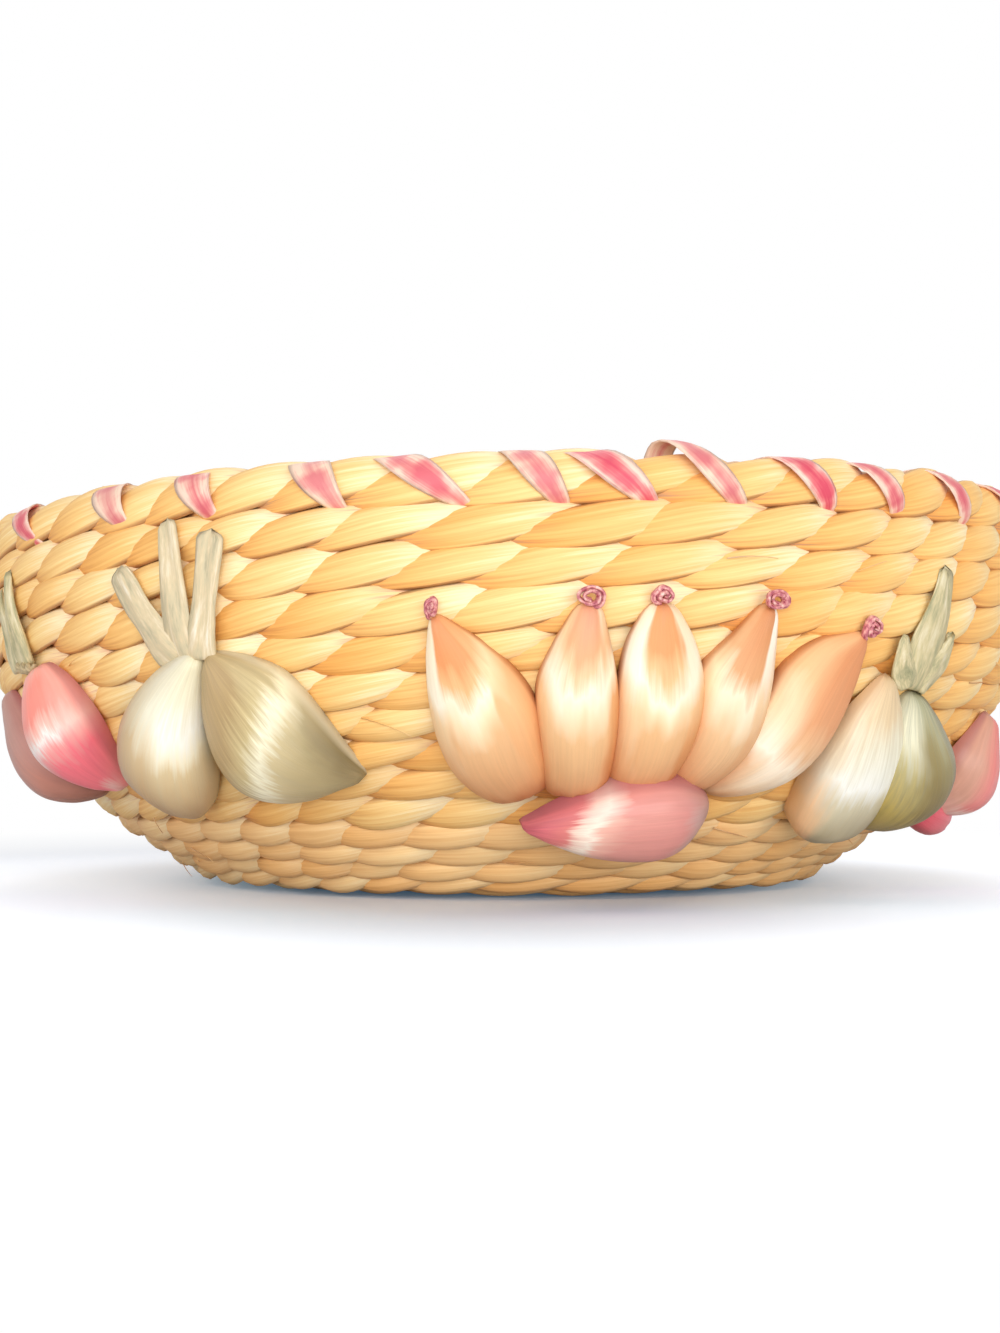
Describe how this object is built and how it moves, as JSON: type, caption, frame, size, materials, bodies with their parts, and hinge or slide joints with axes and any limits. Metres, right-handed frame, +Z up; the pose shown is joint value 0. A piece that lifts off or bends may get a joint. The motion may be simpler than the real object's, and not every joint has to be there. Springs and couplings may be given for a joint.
{
  "type": "woven bowl basket",
  "caption": "Low round basket of twined straw with a dyed strip bound over its rim and dried garlic cloves fixed along its front.",
  "frame": {"origin": "middle of the flat underside that the basket stands on", "axes": "+Z up, the decorated front faces -Y, +X to its right"},
  "size_m": [0.3691, 0.3699, 0.1282],
  "materials": {
    "straw": "twisted dried straw, satin",
    "lower_straw": "twisted dried straw, paler and duller",
    "pink_strip": "dyed raffia strip, satin",
    "peach_husk": "dry papery husk with a silky sheen",
    "pink_husk": "dyed papery husk with a silky sheen",
    "cream_husk": "dry papery husk with a silky sheen",
    "khaki_husk": "dry papery husk with a silky sheen",
    "olive_husk": "dry papery husk with a silky sheen",
    "crimson_tip": "dried curled fibre",
    "stalk": "dry fibrous stalk"
  },
  "bodies": {
    "root": {"weaver_row_01": "lower_straw", "weaver_row_02": "lower_straw", "weaver_row_03": "lower_straw", "weaver_row_04": "straw", "weaver_row_05": "straw", "weaver_row_06": "straw", "weaver_row_07": "straw", "weaver_row_08": "straw", "weaver_row_09": "straw", "weaver_row_10": "straw", "weaver_row_11": "straw", "weaver_row_12": "straw", "rim_border": "straw", "rim_strap": "pink_strip", "stake_frame": "lower_straw", "base_mat": "lower_straw", "fan_clove_1": "peach_husk", "fan_clove_2": "peach_husk", "fan_clove_3": "peach_husk", "fan_clove_4": "peach_husk", "fan_clove_5": "peach_husk", "fan_tip_1": "crimson_tip", "fan_tip_2": "crimson_tip", "fan_tip_3": "crimson_tip", "fan_tip_4": "crimson_tip", "fan_tip_5": "crimson_tip", "front_pink_clove": "pink_husk", "left_cream_clove": "cream_husk", "left_green_clove": "khaki_husk", "left_edge_pink_clove": "pink_husk", "left_edge_red_clove": "pink_husk", "right_cream_clove": "cream_husk", "right_green_bulb": "olive_husk", "right_edge_pink_clove": "pink_husk", "right_edge_red_clove": "pink_husk", "left_stalk_1": "stalk", "left_stalk_2": "stalk", "left_stalk_3": "stalk", "left_edge_stalk_1": "stalk", "left_edge_stalk_2": "stalk", "right_stalk_1": "stalk", "right_stalk_2": "stalk", "right_stalk_3": "stalk", "left_edge_tie": "stalk"}
  },
  "joints": []
}
